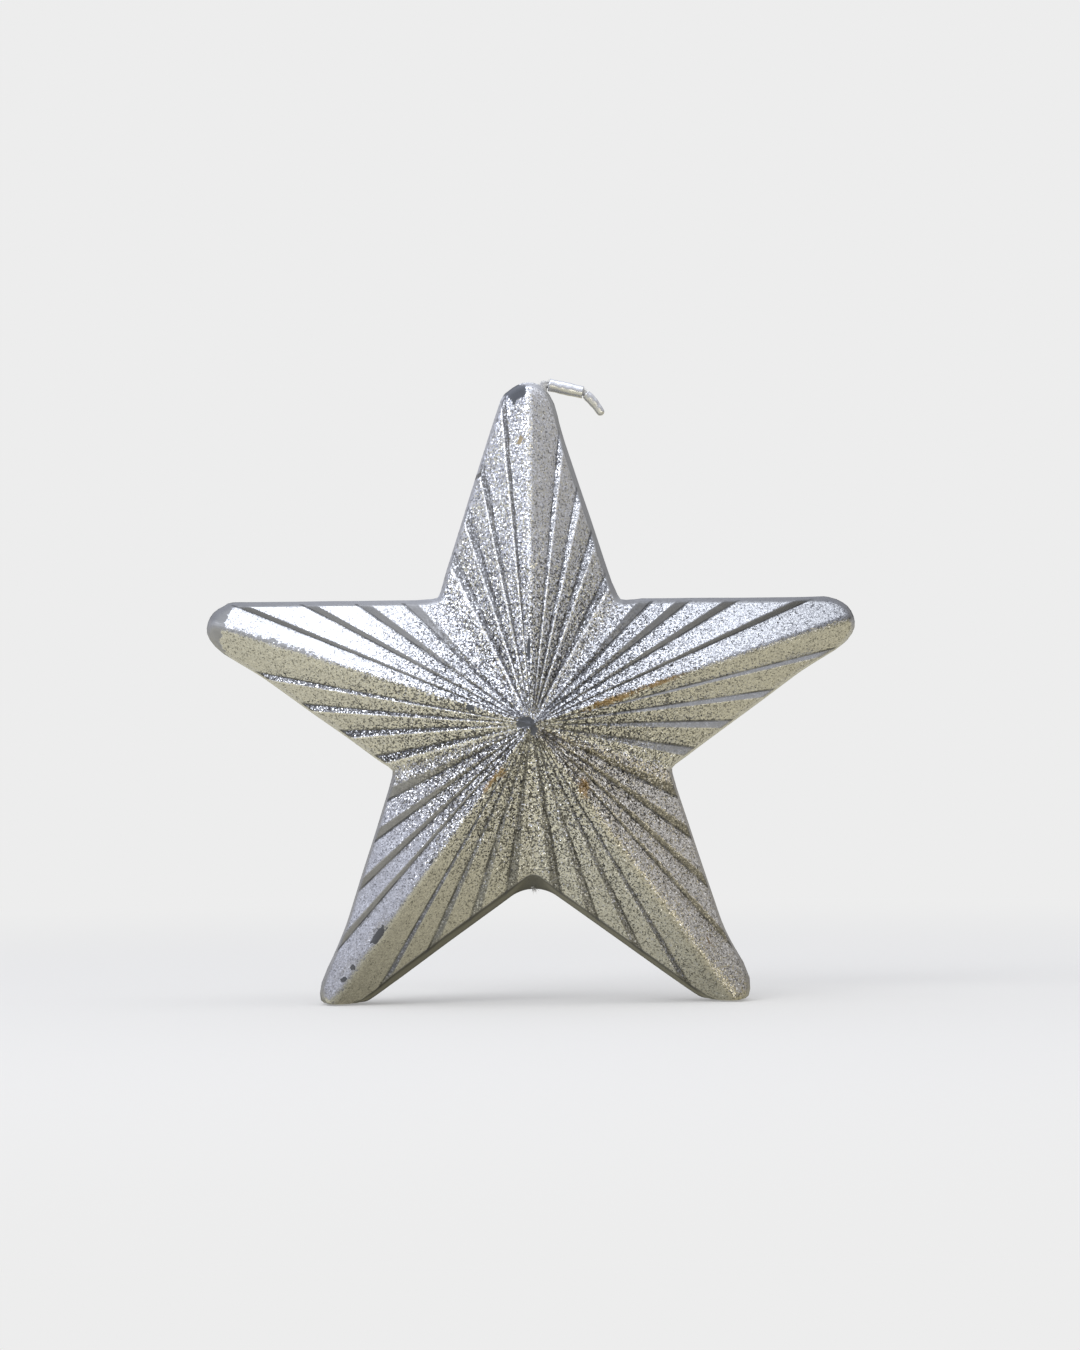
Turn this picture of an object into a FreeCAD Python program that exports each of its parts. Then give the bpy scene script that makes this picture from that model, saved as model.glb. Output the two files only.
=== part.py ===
import FreeCAD, Part

# A standing star candle: a moulded wax star, dipped in grey wax and coated with silver glitter, with a
# short cracked wick that leaves the top arm and lies over to the right.
#
# Frame: +Z up, the grooved front faces -Y, and the origin is on the table midway between the two feet.
# Every piece is drawn about the star's own centre and then lifted onto its feet by centre_height.

import math
import os
import sys

import Sketcher
from FreeCAD import Placement, Rotation, Vector

# ---------------------------------------------------------------- driving dimensions (mm and degrees)

SIZES = (
    ("edge_distance", 24.5, "centre of the star to the line of each long edge"),
    ("tip_round", 6.0, "radius of an arm's rounded end, seen from the front"),
    ("foot_round", 5.0, "the same on the two lower arms, whose ends are flattened by the table"),
    ("centre_height", 53.8, "centre of the star above the table"),
    ("rim_half", 5.0, "parting line to the rim that the relief rises from"),
    ("crown", 12.5, "rim to the top of the relief at the centre"),
    ("wall_draft", 8.0, "degrees that the side walls lean in from the parting line"),
    ("groove_depth", 1.2, "depth of each groove where it runs out at the edge"),
    ("groove_wall", 2.6, "length along the edge of a groove's steep wall"),
    ("coat_skin", 0.3, "thickness of the silver lacquer and glitter"),
    ("dip_skin", 0.8, "thickness of the grey wax under the glitter"),
    ("braid_radius", 0.65, "radius of the cotton wick"),
    ("sleeve_radius", 0.98, "outer radius of the silvered wax on the free wick"),
    ("wick_offset", 3.0, "how far right of the top arm's middle the wick comes out"),
    ("wick_rise", 0.9, "top arm's edge to the point where the wick folds over"),
    ("wick_tuft", 0.6, "length of wick left standing out of the notch below"),
    ("stub_droop", 13.3, "degrees below level of the wick's first stretch"),
    ("stub_length", 8.05, "fold at the wax to the crack"),
    ("crack_bend", 29.2, "degrees that the wick bends down again at the crack"),
    ("end_length", 5.75, "crack to the wick's rounded end"),
    ("root_gap", 1.25, "fold to the start of the silvered wax"),
    ("crack_gap", 0.34, "crack to the broken edge of the wax on each side"),
    ("knuckle_play", 0.05, "clearance that lets the wick turn at the crack"),
    ("end_round", 0.5, "rounding of the wick's dipped end"),
)

ARMS = 5
HALF_TIP = math.radians(18)  # half the angle at a tip of a regular star with straight edges
HALF_ARM = math.radians(36)  # an arm's middle to the inner corner beside it
FOOT_TURN = 144  # degrees from the top arm round to a lower one
GROOVE_ENDS = (0.12, 0.28, 0.47, 0.68)  # where the grooves meet an edge, inner corner to pointed tip
OVERRUN = 1.06  # the relief is drawn this much larger than the star, and the side walls trim it
ARM_OVERLAP = 5.0  # each arm runs this far past the centre, so that the five fuse
TOOL_REACH = 30.0  # cutting solids run this far past the star

doc = FreeCAD.newDocument("star_candle")
sheet = doc.addObject("Spreadsheet::Sheet", "sizes")
for row, (alias, value, note) in enumerate(SIZES, start=1):
    sheet.set(f"A{row}", alias)
    sheet.set(f"B{row}", str(value))
    sheet.setAlias(f"B{row}", alias)
    sheet.set(f"C{row}", note)
doc.recompute()


def size(alias):
    return float(getattr(sheet, alias))


# ---------------------------------------------------------------- places worked out from the sizes

inner_radius = size("edge_distance") / math.cos(HALF_ARM)
pointed_reach = size("edge_distance") / math.sin(HALF_TIP)
tip_centre = pointed_reach - size("tip_round") / math.sin(HALF_TIP)
half_depth = size("rim_half") + size("crown")

STUB_ANGLE = math.radians(size("stub_droop"))
END_ANGLE = math.radians(size("stub_droop") + size("crack_bend"))
stub_way = Vector(math.cos(STUB_ANGLE), 0, -math.sin(STUB_ANGLE))
end_way = Vector(math.cos(END_ANGLE), 0, -math.sin(END_ANGLE))

edge_at_wick = tip_centre + math.sqrt(size("tip_round") ** 2 - size("wick_offset") ** 2)
root_fold = Vector(size("wick_offset"), 0, edge_at_wick + size("wick_rise"))
crack = root_fold + stub_way * size("stub_length")
wick_foot = Vector(0, 0, -inner_radius - size("wick_tuft"))
lift = Vector(0, 0, size("centre_height"))


def lifted(point, direction=Vector(0, 0, 1)):
    """The placement that stands a piece drawn along +Z at a point of the star, pointing along direction."""
    return Placement(point + lift, Rotation(Vector(0, 0, 1), direction))


# ---------------------------------------------------------------- small helpers for document objects


def bound(kind, name, **expressions):
    """A document object of this kind whose properties follow the given expressions."""
    feature = doc.addObject(kind, name)
    for prop, expression in expressions.items():
        feature.setExpression(prop, expression)
    return feature


def rod(name, radius, start, finish):
    """A cylinder along +Z whose radius and two ends follow expressions."""
    cylinder = bound("Part::Cylinder", name, Radius=radius, Height=f"({finish}) - ({start})")
    cylinder.setExpression("Placement.Base.z", start)
    return cylinder


def combine(kind, name, base, tool):
    """A Part boolean (Part::Cut, Part::Fuse or Part::Common) of two objects."""
    feature = doc.addObject(kind, name)
    feature.Base = base
    feature.Tool = tool
    return feature


def origin_feature(body, role):
    return next(f for f in body.Origin.OriginFeatures if f.Role == role)


def sketch_on(body, role, name):
    sketch = body.newObject("Sketcher::SketchObject", name)
    sketch.AttachmentSupport = (origin_feature(body, role), [""])
    sketch.MapMode = "FlatFace"
    return sketch


# ---------------------------------------------------------------- the star


def arm_sketch(body, name, inset, rounding, turn):
    """One arm pointing up, then turned: two straight edges, a rounded tip, and a base below the centre."""
    sketch = sketch_on(body, "XZ_Plane", name)
    sketch.AttachmentOffset = Placement(Vector(), Rotation(Vector(0, 0, 1), turn))
    radius = size(rounding)
    middle = Vector(0, pointed_reach - radius / math.sin(HALF_TIP), 0)
    right = middle + Vector(math.cos(HALF_TIP), math.sin(HALF_TIP), 0) * radius
    left = Vector(-right.x, right.y, 0)
    base_half = (pointed_reach + ARM_OVERLAP) * math.tan(HALF_TIP)
    base_right, base_left = Vector(base_half, -ARM_OVERLAP, 0), Vector(-base_half, -ARM_OVERLAP, 0)
    outline = [
        Part.LineSegment(base_right, right),
        Part.ArcOfCircle(Part.Circle(middle, Vector(0, 0, 1), radius), HALF_TIP, math.pi - HALF_TIP),
        Part.LineSegment(left, base_left),
        Part.LineSegment(base_left, base_right),
    ]
    right_edge, tip, left_edge, base = sketch.addGeometry(outline)
    start, end, centre = 1, 2, 3
    origin, vertical = -1, -2
    rules = [
        Sketcher.Constraint("Tangent", right_edge, end, tip, start),
        Sketcher.Constraint("Tangent", tip, end, left_edge, start),
        Sketcher.Constraint("Coincident", left_edge, end, base, start),
        Sketcher.Constraint("Coincident", base, end, right_edge, start),
        Sketcher.Constraint("Symmetric", base, start, base, end, vertical),
        Sketcher.Constraint("PointOnObject", tip, centre, vertical),
        Sketcher.Constraint("DistanceY", base, start, origin, start, ARM_OVERLAP),
        Sketcher.Constraint("Angle", right_edge, start, base, end, math.pi / 2 - HALF_TIP),
        Sketcher.Constraint("Radius", tip, radius),
        Sketcher.Constraint("Distance", origin, start, right_edge, size("edge_distance")),
    ]
    *_, tip_rule, edge_rule = sketch.addConstraint(rules)
    sketch.renameConstraint(tip_rule, "tip")
    sketch.renameConstraint(edge_rule, "edge")
    sketch.setExpression("Constraints.tip", f"sizes.{rounding} - ({inset})")
    sketch.setExpression("Constraints.edge", f"sizes.edge_distance - ({inset})")
    return sketch


def arm_pad(body, name, inset, rounding, turn=0):
    """One arm as a solid whose side wall leans in, both ways from the parting line."""
    arm = body.newObject("PartDesign::Pad", name)
    arm.Profile = arm_sketch(body, f"{name}_outline", inset, rounding, turn)
    arm.SideType = "Two sides"
    for prop in ("Length", "Length2"):
        arm.setExpression(prop, "sizes.rim_half + sizes.crown")
    for prop in ("TaperAngle", "TaperAngle2"):
        arm.setExpression(prop, "-sizes.wall_draft")
    doc.recompute()
    return arm


def blank(name, inset):
    """The star's outline: five equal arms, and the squarer ends of the two that it stands on."""
    body = doc.addObject("PartDesign::Body", name)
    arm = arm_pad(body, f"{name}_arm", inset, "tip_round")
    arms = body.newObject("PartDesign::PolarPattern", f"{name}_arms")
    arms.Originals = [arm]
    arms.Axis = (origin_feature(body, "Y_Axis"), [""])
    arms.Angle = 360
    arms.Occurrences = ARMS
    body.Tip = arms
    doc.recompute()
    foot = arm_pad(body, f"{name}_foot", inset, "foot_round", FOOT_TURN)
    feet = body.newObject("PartDesign::Mirrored", f"{name}_feet")
    feet.Originals = [foot]
    feet.MirrorPlane = (origin_feature(body, "YZ_Plane"), [""])
    body.Tip = feet
    return body


def edge_points():
    """Once around the pointed star: each point where a rib or groove meets an edge, and its depth there."""
    edge_length = inner_radius * math.sin(HALF_ARM) / math.sin(HALF_TIP)
    wall_share = size("groove_wall") / edge_length
    outward = [(0.0, 0.0)]
    for end in GROOVE_ENDS:
        outward.append((end - wall_share, 0.0))
        outward.append((end, size("groove_depth")))
    both = [(-1, share, depth) for share, depth in outward] + [(0, 1.0, 0.0)]
    both += [(1, share, depth) for share, depth in reversed(outward[1:])]
    points = []
    for arm in range(ARMS):
        middle = math.radians(90) + arm * 2 * HALF_ARM
        tip = Vector(math.cos(middle), 0, math.sin(middle)) * pointed_reach
        for side, share, depth in both:
            turned = middle + (side or 1) * HALF_ARM
            corner = Vector(math.cos(turned), 0, math.sin(turned)) * inner_radius
            points.append((corner + (tip - corner) * share, depth))
    return points


def relief(name, inset):
    """Both faces of the star, as flat ribs and groove walls that fan out from the middle to every edge."""
    slope = size("crown") / size("edge_distance")
    sunk = inset * math.hypot(1, slope)
    ring = edge_points()
    faces = []
    rims = []
    for front in (-1, 1):
        top = Vector(0, front * (half_depth - sunk), 0)
        rim = [point + Vector(0, front * (size("rim_half") - sunk - depth), 0) for point, depth in ring]
        rim = [top + (point - top) * OVERRUN for point in rim]
        rims.append(rim)
        for here, there in zip(rim, rim[1:] + rim[:1]):
            faces.append(Part.Face(Part.makePolygon([top, here, there, top])))
    front_rim, back_rim = rims
    for k in range(len(ring)):
        after = (k + 1) % len(ring)
        corners = [front_rim[k], front_rim[after], back_rim[after], back_rim[k], front_rim[k]]
        faces.append(Part.Face(Part.makePolygon(corners)))
    solid = Part.makeSolid(Part.makeShell(faces))
    if solid.Volume < 0:
        solid.reverse()
    feature = doc.addObject("Part::Feature", name)
    feature.Shape = solid
    return feature


def floor_box():
    """What is cut off below, so that the star stands on two flat feet."""
    reach = f"(sizes.edge_distance / sin(18) + {TOOL_REACH})"
    box = bound("Part::Box", "floor", Length=f"2 * {reach}", Width=f"2 * {reach}", Height=reach)
    box.setExpression("Placement.Base.x", f"-{reach}")
    box.setExpression("Placement.Base.y", f"-{reach}")
    box.setExpression("Placement.Base.z", f"-sizes.centre_height - {reach}")
    return box


def star(name, inset_mm, inset_expression, floor):
    """The whole star, drawn in from its outer surface by inset, and cut flat at the feet."""
    outline = blank(f"{name}_blank", inset_expression)
    faces = relief(f"{name}_relief", inset_mm)
    shaped = combine("Part::Common", f"{name}_shaped", outline, faces)
    return combine("Part::Cut", f"{name}_solid", shaped, floor)


def bore():
    """The channel that the wick fills, from below the notch to above the top arm."""
    through = root_fold - wick_foot
    tool = rod("wick_bore", "sizes.braid_radius", "0", str(through.Length + TOOL_REACH))
    channel = doc.addObject("Part::Compound", "wick_channel")
    channel.Links = [tool]
    channel.Placement = Placement(wick_foot, Rotation(Vector(0, 0, 1), through))
    return channel


def star_pieces():
    """The three layers of the candle, each a closed solid around the next."""
    floor, channel = floor_box(), bore()
    dip = size("coat_skin")
    wax = dip + size("dip_skin")
    outer = star("coat", 0.0, "0", floor)
    middle = star("dip", dip, "sizes.coat_skin", floor)
    inner = star("wax", wax, "sizes.coat_skin + sizes.dip_skin", floor)
    glitter = combine("Part::Cut", "glitter_layer", outer, middle)
    grey = combine("Part::Cut", "grey_layer", middle, inner)
    pieces = {
        "glitter_coat": combine("Part::Cut", "glitter_coat", glitter, channel),
        "grey_overdip": combine("Part::Cut", "grey_overdip", grey, channel),
        "wax_core": combine("Part::Cut", "wax_core", inner, channel),
    }
    for piece in pieces.values():
        piece.Placement = Placement(lift, Rotation())
    return pieces


# ---------------------------------------------------------------- the wick


def braid(name, start, finish, placement):
    """A stretch of cotton wick along +Z, with a round end at finish where it turns."""
    straight = rod(f"{name}_straight", "sizes.braid_radius", start, finish)
    knuckle = bound("Part::Sphere", f"{name}_knuckle", Radius="sizes.braid_radius")
    knuckle.setExpression("Placement.Base.z", finish)
    piece = combine("Part::Fuse", name, straight, knuckle)
    piece.Placement = placement
    return piece


def sleeve(name, start, finish, placement):
    """Silvered wax around the braid, drawn along +Z and open at both ends."""
    outside = rod(f"{name}_outside", "sizes.sleeve_radius", start, finish)
    inside = rod(f"{name}_inside", "sizes.braid_radius", start, finish)
    piece = combine("Part::Cut", name, outside, inside)
    piece.Placement = placement
    return piece


def dipped_end(name, start, finish, braid_finish, placement):
    """Silvered wax that also covers the wick's rounded end."""
    outside = rod(f"{name}_outside", "sizes.sleeve_radius", start, finish)
    doc.recompute()
    rims = [(edge.CenterOfMass.z, k) for k, edge in enumerate(outside.Shape.Edges, start=1) if edge.Closed]
    rounded = doc.addObject("Part::Fillet", f"{name}_rounded")
    rounded.Base = outside
    rounded.Edges = [(max(rims)[1], size("end_round"), size("end_round"))]
    inside = rod(f"{name}_inside", "sizes.braid_radius", start, braid_finish)
    piece = combine("Part::Cut", name, rounded, inside)
    piece.Placement = placement
    return piece


def wick_pieces():
    """The wick in three stretches: through the wax, from the wax to the crack, and past the crack."""
    through = root_fold - wick_foot
    at_foot = lifted(wick_foot, through)
    at_fold = lifted(root_fold, stub_way)
    at_crack = lifted(crack, end_way)
    skin = "(sizes.sleeve_radius - sizes.braid_radius)"
    before_crack = "sizes.stub_length - sizes.crack_gap"
    past_knuckle = "sizes.braid_radius + sizes.knuckle_play"
    braid_finish = f"sizes.end_length - {skin}"
    end = rod("wick_end_rod", "sizes.braid_radius", past_knuckle, braid_finish)
    last = doc.addObject("Part::Compound", "wick_end")
    last.Links = [end]
    last.Placement = at_crack
    return {
        "wick_through_wax": braid("wick_through_wax", "0", str(through.Length), at_foot),
        "wick_stub": braid("wick_stub", "sizes.root_gap", "sizes.stub_length", at_fold),
        "wick_end": last,
        "stub_sleeve": sleeve("stub_sleeve", "sizes.root_gap", before_crack, at_fold),
        "end_sleeve": dipped_end("end_sleeve", "sizes.crack_gap", "sizes.end_length", braid_finish, at_crack),
    }


# ---------------------------------------------------------------- build, check and write


def faulty(pieces):
    """Plain words on everything in the document that failed, or came out empty or invalid."""
    failed = [f"{o.Name} is {o.State}" for o in doc.Objects if {"Invalid", "Error"} & set(o.State)]
    for node, piece in pieces.items():
        shape = piece.Shape
        if shape.isNull() or not shape.isValid() or not shape.Solids:
            failed.append(f"{node} has no valid solid")
    return failed


def describe(node, shape):
    box = shape.optimalBoundingBox()
    spans = [(box.XMin, box.XMax), (box.YMin, box.YMax), (box.ZMin, box.ZMax)]
    corners = "  ".join(f"{axis} {low:.2f}..{high:.2f}" for axis, (low, high) in zip("xyz", spans))
    print(f"{node:18s} {len(shape.Solids)} solid  {shape.Volume / 1000:8.3f} cm3  {corners}")


pieces = {**star_pieces(), **wick_pieces()}
doc.recompute()
problems = faulty(pieces)
if problems:
    sys.exit("\n".join(problems))

os.makedirs("parts", exist_ok=True)
for node, piece in pieces.items():
    piece.Label = node
    piece.Shape.exportStep(f"parts/{node}.step")
    describe(node, piece.Shape)
for bend, point in (("fold", root_fold), ("crack", crack)):
    print(f"wick {bend} at", tuple(round(v, 3) for v in point + lift))
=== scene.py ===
import math
from collections import namedtuple

import bpy
import numpy as np
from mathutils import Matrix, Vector, noise


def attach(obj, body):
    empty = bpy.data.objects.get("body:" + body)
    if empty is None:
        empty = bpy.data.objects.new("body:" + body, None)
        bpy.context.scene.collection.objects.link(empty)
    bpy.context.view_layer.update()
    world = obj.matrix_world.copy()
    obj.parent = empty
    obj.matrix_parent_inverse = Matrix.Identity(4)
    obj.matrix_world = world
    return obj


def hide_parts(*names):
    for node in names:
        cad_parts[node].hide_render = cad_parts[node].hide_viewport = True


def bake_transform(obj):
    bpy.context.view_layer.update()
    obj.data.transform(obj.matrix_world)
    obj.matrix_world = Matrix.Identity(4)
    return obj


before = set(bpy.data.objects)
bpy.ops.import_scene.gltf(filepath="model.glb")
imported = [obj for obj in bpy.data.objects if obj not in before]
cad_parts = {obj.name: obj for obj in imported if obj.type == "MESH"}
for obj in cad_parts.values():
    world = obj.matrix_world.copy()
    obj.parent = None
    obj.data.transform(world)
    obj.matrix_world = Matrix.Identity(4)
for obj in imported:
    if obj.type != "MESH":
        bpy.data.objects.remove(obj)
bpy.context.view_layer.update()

MM = 0.001

TOP, LEFT, LEFT_FOOT, RIGHT_FOOT, RIGHT = range(5)

# The star's own sizes, in millimetres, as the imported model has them.
APOTHEM = 24.5          # middle of the star to each straight edge
RIM = 5.0               # half thickness at the edges
CROWN = 12.5            # how much further the middle stands out
CENTRE = 53.8           # middle of the star above the floor
TIP_ROUND, FOOT_ROUND = 6.0, 5.0
GROOVE_DEPTH = 1.2
WALL_SLOPE = 1 / math.tan(math.radians(8.0))
FIFTH, TENTH, POINT = math.radians(72), math.radians(36), math.radians(18)
EDGE = APOTHEM * (math.tan(FIFTH) - math.tan(TENTH))            # a straight edge's length, notch to point
ARM_TURNS = [math.radians(90 + 72 * k) for k in range(5)]       # the five arms' directions

# What the casting itself adds to them.
DRAWN_IN = 0.22         # the seam and the unevenness stand this far out of the outline
TOP_DRIP = 0.008        # wax gathered at the wick's root, as a share of the way from the middle
TOE = (42.0, -46.5)     # the right foot's outer toe, right and up from the star's middle,
TOE_HALF = (4.5, 5.0)   # how far it spreads and how far it stands out
TOE_OUT = 0.9
CENTRE_WORN = 0.25      # the very middle point is worn down this far
NOTCH_CORNER = 0.9      # rounding of a notch between two arms, and what the arch between the legs adds
ARCH_CORNER = 6.5
CHIP_DEPTH = 0.42
UNEVEN = ((0.16, 9.0, 3), (0.06, 2.2, 5), (0.05, 0.7, 7))       # lumps and grit: height, size, noise seed

# The grooves meet an edge at these shares of its length, from the notch to the tip. On some half arms they
# sit a little nearer the notch or the tip.
WALL_SHARE = 0.050      # how much of an edge each groove's steep wall takes
WALL_FADE = 0.004       # and how softly the wall's paint starts and stops
GROOVE_ROUNDING = 0.42  # width, in millimetres, over which a groove's turns are rounded
GROOVE_ENDS = (0.12, 0.28, 0.47, 0.68)
OWN_GROOVE_ENDS = {
    (TOP, -1): (0.12, 0.28, 0.445, 0.65),
    (TOP, 1): (0.17, 0.325, 0.50, 0.745),
    (LEFT, -1): (0.135, 0.30, 0.49, 0.73),
    (LEFT, 1): (0.09, 0.25, 0.42, 0.62),
    (RIGHT, -1): (0.12, 0.29, 0.48, 0.72),
    (RIGHT, 1): (0.115, 0.25, 0.42, 0.67),
}
GROOVE_LAYOUTS = (GROOVE_ENDS, *OWN_GROOVE_ENDS.values())

# The mesh's rings: how far in from the outline the outer ones lie, and how many follow to the middle.
# And its rays: where extra ones lie beside each groove's bottom and crest, in degrees.
INSETS = np.array([0, .03, .07, .14, .28, .42, .54, .64, .74, .86, 1.0, 1.2, 1.5, 1.9, 2.4])
INNER_RINGS = 45
BOTTOM_RAYS = (-.45, -.2, 0, .2, .45)
CREST_RAYS = (-.3, 0, .3)

BACKGROUND = (0.847, 0.847, 0.847)


# ---------------------------------------------------------------- helpers

def smooth_step(x, low, high):
    """0 up to low, 1 from high on, and smooth between. With low above high it falls instead."""
    t = np.clip((np.asarray(x, float) - low) / (high - low), 0, 1)
    return t * t * (3 - 2 * t)


def smooth_min(a, b, k):
    """The lesser of two, rounded over about k where they cross."""
    return 0.5 * (a + b - np.sqrt((a - b) ** 2 + k * k))


def noise_at(points, size, seed):
    """Smooth noise, about -1 to 1, at points in millimetres, with lumps of this size."""
    shift = Vector((seed * 17.3, seed * 5.1, seed * 9.7))
    return np.array([noise.noise(Vector(p) / size + shift) for p in points.tolist()])


def new_mesh(name, points_mm, faces, body, slot, material):
    """A smoothly shaded piece, which rides on a body if one is named."""
    mesh = bpy.data.meshes.new(name)
    mesh.from_pydata((np.asarray(points_mm, float) * MM).tolist(), [], faces)
    mesh.validate()
    mesh.polygons.foreach_set("use_smooth", [True] * len(mesh.polygons))
    mesh.materials.append(material)
    piece = bpy.data.objects.new(name, mesh)
    bpy.context.collection.objects.link(piece)
    if body:
        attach(piece, body)
    return piece


def add_field(piece, name, values):
    """One number for every point of a piece, for its material to read."""
    field = piece.data.attributes.new(name, "FLOAT", "POINT")
    field.data.foreach_set("value", np.asarray(values, np.float32))


class Paint:
    """One node material. Every method adds a node and returns the socket that carries its result."""

    def __init__(self, name):
        self.material = bpy.data.materials.new(name)
        self.material.use_nodes = True
        self.tree = self.material.node_tree
        self.tree.nodes.clear()
        self.place = self.add("ShaderNodeTexCoord").outputs["Object"]

    def add(self, kind, **settings):
        node = self.tree.nodes.new(kind)
        for key, value in settings.items():
            setattr(node, key, value)
        return node

    def put(self, socket, value):
        if isinstance(value, bpy.types.NodeSocket):
            self.tree.links.new(value, socket)
        elif isinstance(value, (tuple, list)) and len(value) == 3 and len(socket.default_value) == 4:
            socket.default_value = (*value, 1)
        else:
            socket.default_value = value

    def math(self, operation, a, b=0.0, clamp=False):
        node = self.add("ShaderNodeMath", operation=operation, use_clamp=clamp)
        self.put(node.inputs[0], a)
        self.put(node.inputs[1], b)
        return node.outputs[0]

    def plus(self, a, b):
        return self.math("ADD", a, b)

    def minus(self, a, b, clamp=False):
        return self.math("SUBTRACT", a, b, clamp)

    def times(self, a, b):
        return self.math("MULTIPLY", a, b)

    def vector(self, operation, a, b=(0, 0, 0), scale=None):
        node = self.add("ShaderNodeVectorMath", operation=operation)
        self.put(node.inputs[0], a)
        self.put(node.inputs[1], b)
        if scale is not None:
            self.put(node.inputs["Scale"], scale)
        return node.outputs["Value"] if operation == "LENGTH" else node.outputs["Vector"]

    def field(self, name):
        return self.add("ShaderNodeAttribute", attribute_name=name).outputs["Fac"]

    def step(self, value, low, high, to_low=0.0, to_high=1.0):
        node = self.add("ShaderNodeMapRange", interpolation_type="SMOOTHSTEP")
        for socket, v in zip(node.inputs, (value, low, high, to_low, to_high)):
            self.put(socket, v)
        return node.outputs[0]

    def noise(self, size_mm, detail=2.0, rough=0.5, place=None):
        node = self.add("ShaderNodeTexNoise")
        self.put(node.inputs["Vector"], place or self.place)
        node.inputs["Scale"].default_value = 1 / (size_mm * MM)
        node.inputs["Detail"].default_value = detail
        node.inputs["Roughness"].default_value = rough
        return node.outputs["Fac"]

    def cells(self, size_mm):
        """Random flat cells: a colour for each, and the distance from its middle."""
        node = self.add("ShaderNodeTexVoronoi")
        self.put(node.inputs["Vector"], self.place)
        node.inputs["Scale"].default_value = 1 / (size_mm * MM)
        return node.outputs["Color"], node.outputs["Distance"]

    def part(self, colour, channel):
        node = self.add("ShaderNodeSeparateColor")
        self.put(node.inputs[0], colour)
        return node.outputs[channel]

    def mix(self, share, a, b):
        node = self.add("ShaderNodeMix", data_type="RGBA")
        self.put(node.inputs["Factor"], share)
        self.put(node.inputs[6], a)
        self.put(node.inputs[7], b)
        return node.outputs[2]

    def bump(self, height, depth_mm, normal=None):
        node = self.add("ShaderNodeBump")
        node.inputs["Distance"].default_value = depth_mm * MM
        self.put(node.inputs["Height"], height)
        if normal:
            self.put(node.inputs["Normal"], normal)
        return node.outputs[0]

    def finish(self, **inputs):
        shader = self.add("ShaderNodeBsdfPrincipled")
        for name, value in inputs.items():
            self.put(shader.inputs[name.replace("_", " ")], value)
        output = self.add("ShaderNodeOutputMaterial")
        self.tree.links.new(shader.outputs[0], output.inputs[0])
        return self.material


# ---------------------------------------------------------------- materials

Masks = namedtuple("Masks", "ragged line crest wall_side grey_wall chip side bare plain")


def glitter_masks(p):
    """Where grooves, crests, bare wax and chips are, each 0 to 1, and the noise that makes them ragged."""
    ragged = p.minus(p.noise(0.9, 3, 0.65), 0.5)
    fine = p.minus(p.noise(0.35, 2), 0.5)
    # Groove bottoms, where a line of shade is painted.
    line = p.step(p.plus(p.field("groove_mm"), p.times(fine, 0.3)), 0.52, 0.26)
    # Rib crests, where highlights are painted.
    crest = p.step(p.plus(p.field("crest_mm"), p.times(fine, 0.6)), 0.50, 0.20)
    wall_side = p.step(p.plus(p.field("wall"), p.times(ragged, 0.5)), 0.42, 0.6)
    grey_wall = p.times(wall_side, p.field("plain_wall"))
    worn = p.step(p.plus(p.field("worn"), p.times(ragged, 1.1)), 0.42, 0.52)
    chip = p.step(p.plus(p.field("chip"), p.times(ragged, 1.3)), -0.04, 0.03)
    side = p.times(p.step(p.field("inset_mm"), 1.15, 0.85), p.field("bare_side"))
    bare = p.math("MAXIMUM", p.math("MAXIMUM", worn, chip), side)
    plain = p.math("MAXIMUM", bare, grey_wall)
    return Masks(ragged, line, crest, wall_side, grey_wall, chip, side, bare, plain)


def flake_normal(p, masks, flake, middle, small):
    """The surface tilted this way and that, flake by flake, less where the glitter is bare or smooth."""
    lifted = p.minus(1.0, p.times(masks.plain, 0.88))
    even = p.step(p.field("smooth"), 0.0, 1.0, 1.0, 0.22)
    thick = p.step(p.field("from_middle"), 6.0, 45.0, 1.45, 1.0)
    rough_cover = p.times(lifted, p.times(even, thick))
    lying = p.step(p.noise(0.45, 1), 0.38, 0.58, 0.25, 1.15)
    way = p.vector("SUBTRACT", flake, (0.5, 0.5, 0.5))
    tilt = p.vector("SCALE", way, scale=p.times(p.times(rough_cover, 0.66), lying))
    way = p.vector("SUBTRACT", small, (0.5, 0.5, 0.5))
    tilt_small = p.vector("SCALE", way, scale=p.times(rough_cover, 0.46))
    surface = p.add("ShaderNodeNewGeometry").outputs["Normal"]
    tilted = p.vector("ADD", p.vector("ADD", surface, tilt), tilt_small)
    return p.bump(middle, 0.012, p.vector("NORMALIZE", tilted))


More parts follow.
